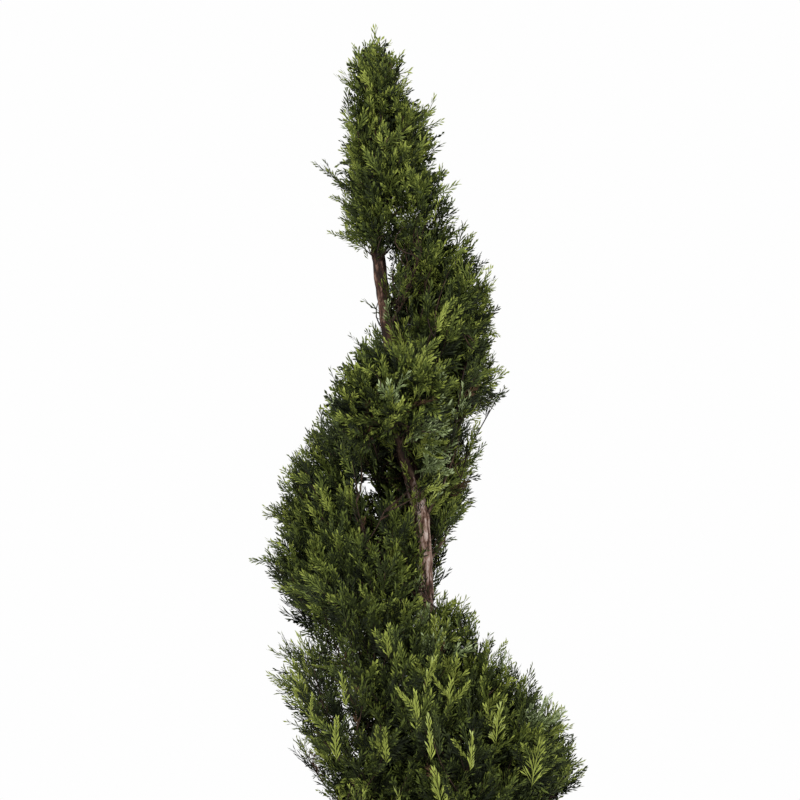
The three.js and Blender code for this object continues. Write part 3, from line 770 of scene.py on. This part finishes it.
def placedFronds(chosen):  # all points, corners and tints of the chosen fronds, joined
    pointRuns, cornerRuns, tintRuns, total = [], [], [], 0
    for index, template in enumerate(templates):
        these = chosen[fronds["template"][chosen] == index]
        if not len(these):
            continue
        points, corners = template["points"], template["corners"]
        root, along, side, length, bend, fold, tints = (
            fronds[key][these][:, None] for key in ("root", "along", "side", "length", "bend", "fold", "tint")
        )
        stretch = length / template["length"]
        x = points[None, :, 0] * stretch
        y = points[None, :, 1] * np.sqrt(stretch) + bend * x * x / spray["bendOver"]
        z = points[None, :, 2] * np.sqrt(stretch) + fold * x * x / spray["bendOver"]
        placed = root + x[..., None] * along + y[..., None] * side + z[..., None] * np.cross(along, side)
        pointRuns.append(placed.reshape(-1, 3))
        shifts = total + len(points) * np.arange(len(these))
        cornerRuns.append((corners[None] + shifts[:, None, None]).reshape(-1, 3))
        tintRuns.append(np.where(template["light"][None], tipTint[tints], tints).ravel())
        total += len(points) * len(these)
    return np.vstack(pointRuns), np.vstack(cornerRuns), np.concatenate(tintRuns)


def standingTube(bm, sides, cuts):  # an upright tube, one unit high and cut into rings, that is then shaped
    tube = bmesh.ops.create_cone(bm, cap_ends=True, segments=sides, radius1=1, radius2=1, depth=1)["verts"]
    edges = {edge for vertex in tube for edge in vertex.link_edges}
    upright = [edge for edge in edges if abs(edge.verts[0].co.z - edge.verts[1].co.z) > 0.5]
    bmesh.ops.subdivide_edges(bm, edges=upright, cuts=cuts)


def ringWays(line):  # the two ways across a line at each of its stations
    forward = unit(np.gradient(line, axis=0))
    side = unit(np.cross(forward, (0.31, 0.87, 0.39)))
    return side, np.cross(forward, side)


def joinedTubes(runs, sides):  # many thin twigs as one shape, closed at both ends
    tubes, pointRuns, cornerRuns, total = {}, [], [], 0
    for line, radii in runs:
        rings = len(line)
        if rings not in tubes:
            bm = bmesh.new()
            standingTube(bm, sides, rings - 2)
            tubes[rings] = triangles(bm)
            bm.free()
        points, corners = tubes[rings]
        ring = np.round((points[:, 2] + 0.5) * (rings - 1)).astype(int)
        side, over = ringWays(line)
        outward = side[ring] * points[:, 1:2] - over[ring] * points[:, :1]
        pointRuns.append(line[ring] + outward * radii[ring][:, None])
        cornerRuns.append(corners + total)
        total += len(points)
    return np.vstack(pointRuns), np.vstack(cornerRuns)


def addObject(name, data):
    made = bpy.data.objects.new(name, data)
    bpy.context.scene.collection.objects.link(made)
    return made


def addPiece(name, mesh, materials, nodes):
    for material in materials:
        mesh.materials.append(material)
    piece = addObject(name, mesh)
    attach(piece, "root")
    if nodes:
        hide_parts(*nodes)


def meshOf(name, bm):  # a finished shape as a mesh
    mesh = bpy.data.meshes.new(name)
    bm.to_mesh(mesh)
    bm.free()
    return mesh


def joinedMesh(name, points, corners):
    mesh = bpy.data.meshes.new(name)
    mesh.from_pydata(points * mm, [], corners, shade_flat=False)
    mesh.validate()
    return mesh


# Materials


def linearColour(text):
    parts = [int(text[i:i + 2], 16) / 255 for i in (1, 3, 5)]
    return [p / 12.92 if p <= 0.04045 else ((p + 0.055) / 1.055) ** 2.4 for p in parts] + [1]


def addNode(material, kind, settings=None, *first, **named):  # links to the first sockets, or to those named
    tree = material.node_tree
    node = tree.nodes.new("ShaderNode" + kind)
    for name, value in (settings or {}).items():
        if isinstance(name, int) or name in node.inputs:
            node.inputs[name].default_value = value
        else:
            setattr(node, name, value)
    for socket, output in [*enumerate(first), *named.items()]:
        tree.links.new(output, node.inputs[socket.replace("_", " ") if socket in named else socket])
    return node


def newMaterial(name):  # the material and its Object coordinates
    material = bpy.data.materials.new(name)
    material.use_nodes = True
    material.node_tree.nodes.clear()
    return material, addNode(material, "TexCoord").outputs["Object"]


def ramp(material, fac, stops):
    node = addNode(material, "ValToRGB", None, fac)
    elements = node.color_ramp.elements
    while len(elements) < len(stops):
        elements.new(0.5)
    for element, (at, colour) in zip(elements, stops):
        element.position = at
        element.color = linearColour(colour) if isinstance(colour, str) else (colour,) * 3 + (1,)
    return node.outputs["Color"]


def finishMaterial(material, settings, pattern, rough, bump=None, **links):  # gloss and bump from a pattern
    if bump:
        links["Normal"] = addNode(material, "Bump", bump, Height=pattern).outputs["Normal"]
    gloss = ramp(material, pattern, rough)
    shader = addNode(material, "BsdfPrincipled", settings, Roughness=gloss, **links)
    addNode(material, "OutputMaterial", Surface=shader.outputs["BSDF"])
    return material


# Scale leaves of a cypress: overlapping waxy scales about 1.5 mm long, drawn at 3 mm so that they show.
leafFinish = {
    "deep": ("#11160a", 0.7), "shade": ("#222910", 0.64), "middle": ("#40491c", 0.6),
    "grey": ("#56623c", 0.64), "fresh": ("#656d2e", 0.58), "young": ("#707835", 0.56),
    "dead": ("#38291b", 0.8), "silver": ("#7d8862", 0.6), "pale": ("#7c854a", 0.56),
    "scaleLength": 3.0, "scaleHeight": 0.25,
}


def leafMaterial(tint):
    colour, rough = leafFinish[tint]
    material, place = newMaterial("scale_leaves_" + tint)
    size = {"feature": "F1", "Scale": 1 / (leafFinish["scaleLength"] * mm), "Randomness": 0.7}
    scales = addNode(material, "TexVoronoi", size, Vector=place).outputs["Distance"]
    settings = {"Base Color": linearColour(colour), "IOR": 1.45, "Specular IOR Level": 0.13}
    bump = {"Strength": 0.7, "Distance": leafFinish["scaleHeight"] * mm, "invert": True}
    return finishMaterial(material, settings, scales, [(0.1, rough - 0.1), (0.7, rough + 0.14)], bump)


# Cypress bark: thin fibrous strips, red-brown in the furrows and weathered to a pinkish grey on the ridges.
barkFinish = {
    "fibre": 1.3, "strip": 3.2, "strandLength": 8, "patch": 20, "fibreHeight": 0.6, "rough": (0.98, 0.82),
}


def barkMaterial(name, *colours):  # of the furrows, the body, the ridges and the palest of these
    material, place = newMaterial(name)
    flat = {"Scale": (1, 1, barkFinish["strip"] / barkFinish["strandLength"])}
    stretched = addNode(material, "Mapping", flat, Vector=place).outputs["Vector"]
    strips, fibres, patches = (
        addNode(
            material, "TexNoise", {"Scale": 1 / (barkFinish[size] * mm), **more}, Vector=way,
        ).outputs["Fac"]
        for size, more, way in (
            ("strip", {"Detail": 6, "Roughness": 0.7, "Distortion": 0.8}, stretched),
            ("fibre", {"Detail": 3, "Roughness": 0.6}, stretched), ("patch", {"Detail": 2}, place),
        )
    )
    relief = addNode(material, "Attribute", {"attribute_name": "relief"}).outputs["Fac"]
    high = addNode(material, "Math", {"operation": "ADD"}, strips, relief).outputs[0]
    weathered = addNode(material, "Math", {"operation": "MULTIPLY_ADD", 1: 0.5, 2: -0.25}, patches)
    total = addNode(material, "Math", {"operation": "ADD"}, high, weathered.outputs[0]).outputs[0]
    colour = ramp(material, total, list(zip((0.3, 0.48, 0.64, 0.8), colours)))
    settings, rough = {"IOR": 1.5, "Specular IOR Level": 0.2}, list(zip((0.3, 0.7), barkFinish["rough"]))
    bump = {"Strength": 1.0, "Distance": barkFinish["fibreHeight"] * mm}
    return finishMaterial(material, settings, fibres, rough, bump, Base_Color=colour)


leafMaterials = [leafMaterial(tint) for tint in tintNames]
trunkBark = barkMaterial("fibrous_bark", "#180e09", "#37241a", "#665147", "#8d7f78")
# the bough and twig barks are darker copies of the trunk's: painted shade for limbs inside the crown, besides
# the darker red-brown of thin wood
boughBark = barkMaterial("bough_bark", "#120b07", "#251811", "#3d2e24", "#544539")
twigBark = barkMaterial("twig_bark", "#120b07", "#21150e", "#38281d", "#54412f")
print("materials made")

# Trunk and boughs, with the bark's relief in the mesh

barkRelief = {
    "sides": 52, "rings": 400, "strip": 4, "strandLength": 19, "stripHeight": 0.95,
    "fibre": 2.2, "fibreHeight": 0.4, "fullFrom": 7, "tone": 0.24,
    # height, and how much paler the bark is drawn there; below nothing it is darker
    "paleness": [
        (0, 0.02), (900, 0), (1000, 0.06), (1100, 0.06),
        (1140, -0.12), (1330, -0.12), (1420, -0.1), (1670, -0.04),
    ],
    "collar": 1.25, "collarShare": 0.6, "collarSpread": 2.2, "collarDrop": 6, "collarReach": 30,
    "limbSides": 9, "limbRings": 15, "limbTone": 0.28, "limbRelief": 0.8, "thickFrom": 2.2,
}


def ridged(point, across, lengthwise):  # from -1 in a furrow to 1 on a strip
    return noise.noise(Vector((point.x / across, point.y / across, point.z / lengthwise)))


def barkHeight(place):
    strips = ridged(place, barkRelief["strip"], barkRelief["strandLength"])
    strips = math.copysign(abs(strips) ** 0.6, strips)
    fibres = ridged(place + Vector((40, 7, 0)), barkRelief["fibre"], barkRelief["strandLength"] * 0.5)
    return strips, strips * barkRelief["stripHeight"] + fibres * barkRelief["fibreHeight"]


def finishBark(name, bm, heights, material, nodes):
    bmesh.ops.recalc_face_normals(bm, faces=bm.faces)
    mesh = meshOf(name, bm)
    relief = mesh.attributes.new("relief", "FLOAT", "POINT")
    relief.data.foreach_set("value", np.array(heights, np.float32))
    mesh.shade_smooth()
    addPiece(name, mesh, [material], nodes)


collars = [  # where a limb leaves the middle of the trunk: which way, how high and how thick
    (wayOut(line[2]), line[0][2], radii[0]) for line, radii in limbs if fromTrunk(line[0][None])[1][0] < 3
]
paleAt, paleness = np.array(barkRelief["paleness"]).T
bm = bmesh.new()
standingTube(bm, barkRelief["sides"], barkRelief["rings"])
heights = []
for vertex in bm.verts:
    share = min(max(vertex.co.z + 0.5, 0), 1)
    z = trunkTop * share
    x, y, radius = (float(v) for v in trunkRun(z))
    angle = math.atan2(vertex.co.y, vertex.co.x)
    around = Vector((math.cos(angle), math.sin(angle), 0))
    rib = 1 + trunk["rootRib"] * math.cos(trunk["flareRoots"] * angle)
    wide = radius * (1 + trunk["flareSpread"] * math.exp(-z / trunk["flareHeight"]) * rib)
    for out, height, thick in collars:
        if abs(z - height) < barkRelief["collarReach"]:
            facing = out[0] * around.x + out[1] * around.y
            off = (z - height - barkRelief["collarDrop"]) / (thick * barkRelief["collarSpread"])
            swell = math.exp(-off ** 2) * max(facing, 0) ** 6
            wide += barkRelief["collar"] * thick * barkRelief["collarShare"] * swell
    lift, height = barkHeight(Vector((around.x * wide, around.y * wide, z)))
    wide += height * min(1, radius / barkRelief["fullFrom"])
    vertex.co = Vector((x + around.x * wide, y + around.y * wide, z)) * mm
    heights.append(lift * barkRelief["tone"] + float(np.interp(z, paleAt, paleness)))
finishBark("trunk_bark", bm, heights, trunkBark, ["trunk"])

bm = bmesh.new()
heights = []
thickLimbs = [(line, radii) for line, radii in limbs if radii[0] > barkRelief["thickFrom"]]
for line, radii in thickLimbs:
    limb = bmesh.new()
    standingTube(limb, barkRelief["limbSides"], barkRelief["limbRings"])
    stations = np.linspace(0, 1, len(line))
    side, over = ringWays(line)
    for vertex in limb.verts:
        share = min(max(vertex.co.z + 0.5, 0), 1)
        centre, across, high = (placeAt(share, stations, run) for run in (line, side, over))
        radius = float(np.interp(share, stations, radii))
        ring = across * vertex.co.x + high * vertex.co.y
        lift, height = barkHeight(Vector(centre + ring * radius))
        radius += height * min(barkRelief["limbRelief"], radius / barkRelief["fullFrom"])
        vertex.co = Vector(centre + ring * radius) * mm
        heights.append(lift * barkRelief["limbTone"])
    bmesh.ops.recalc_face_normals(limb, faces=limb.faces)
    mesh = meshOf("limb", limb)
    bm.from_mesh(mesh)
    bpy.data.meshes.remove(mesh)
boughNodes = [f"bough_{n + 1:02d}" for n in range(band["masses"])] + ["clump_bough"]
finishBark("bough_bark", bm, heights, boughBark, boughNodes)
print("bark on trunk and", len(thickLimbs), "limbs")

fineLimbs = [(line, radii) for line, radii in limbs if radii[0] <= barkRelief["thickFrom"]]
points, corners = joinedTubes(fineLimbs + twigRuns, 3)
addPiece("twigs", joinedMesh("twigs", points, corners), [twigBark], [])
print("twigs", len(corners), "triangles")

# Leaf sprays, joined by the part of the crown that they clothe

bandPieces = [(1, 2), (3, 4), (5, 6), (7, 7), (8, 8), (9, 10), (11, 13)]  # first and last mass of each
massNumber = np.clip(((fronds["turn"] - firstTurn) / massSpan).astype(int) + 1, 1, band["masses"])
ofCone, ofClump = fronds["mass"] == "cone", fronds["mass"] == "clump"
leafPieces = {"cone": (ofCone, ["tip_foliage", "cone_foliage"]), "clump": (ofClump, ["front_clump"])}
for n, (first, last) in enumerate(bandPieces):
    ofPiece = ~ofCone & ~ofClump & (massNumber >= first) & (massNumber <= last)
    leafPieces[f"band_{n + 1}"] = ofPiece, [f"foliage_{mass:02d}" for mass in range(first, last + 1)]
allTriangles = 0
for name, (ofPiece, nodes) in leafPieces.items():
    name, chosen = "sprays_" + name, np.flatnonzero(ofPiece)
    points, corners, tints = placedFronds(chosen)
    mesh = joinedMesh(name, points, corners)
    mesh.polygons.foreach_set("material_index", tints.astype(np.int32))
    addPiece(name, mesh, leafMaterials, nodes)
    allTriangles += len(corners)
    print(name, len(chosen), "fronds", len(corners), "triangles")
print("leaf triangles", allTriangles)

# Floor, light and camera

stage = {"floorRadius": 2.3, "floorColour": "#e6e5e2", "grain": 60}
bm = bmesh.new()
bmesh.ops.create_circle(bm, cap_ends=True, segments=96, radius=stage["floorRadius"])
mesh = meshOf("floor", bm)
floorPaint, place = newMaterial("matt_floor")
grain = addNode(floorPaint, "TexNoise", {"Scale": stage["grain"], "Detail": 3}, Vector=place)
colour = {"Base Color": linearColour(stage["floorColour"])}
mesh.materials.append(finishMaterial(floorPaint, colour, grain.outputs["Fac"], [(0.3, 0.8), (0.7, 0.95)]))
addObject("floor", mesh)

light = {
    "world": 1.0, "worldColour": "#fefefe", "aim": (0, 0, 1.1),
    "key": ((-1.5, -2.8, 3.4), 1.5, 210), "fill": ((2.6, -2.2, 2.0), 2.0, 110),  # place, size and watts
}
world = bpy.data.worlds.new("studio")
world.use_nodes = True
background = world.node_tree.nodes["Background"]
background.inputs["Color"].default_value = linearColour(light["worldColour"])
background.inputs["Strength"].default_value = light["world"]
bpy.context.scene.world = world
for name in ("key", "fill"):
    lamp = bpy.data.lights.new(name, "AREA")
    lampObject = addObject(name, lamp)
    lamp.shape = "DISK"
    lampObject.location, lamp.size, lamp.energy = light[name]
    towards = Vector(light["aim"]) - lampObject.location
    lampObject.rotation_euler = towards.to_track_quat("-Z", "Y").to_euler()

view = {"right": -0.0416, "height": 1.219, "distance": 4.0, "frame": 1.04, "sensor": 36}
cameraData = bpy.data.cameras.new("camera")
cameraData.sensor_width = view["sensor"]
cameraData.lens = view["sensor"] * view["distance"] / view["frame"]
camera = addObject("camera", cameraData)
camera.location = (view["right"], -view["distance"], view["height"])
camera.rotation_euler = (math.pi / 2, 0, 0)
bpy.context.scene.camera = camera
bpy.context.scene.view_settings.view_transform = "Standard"
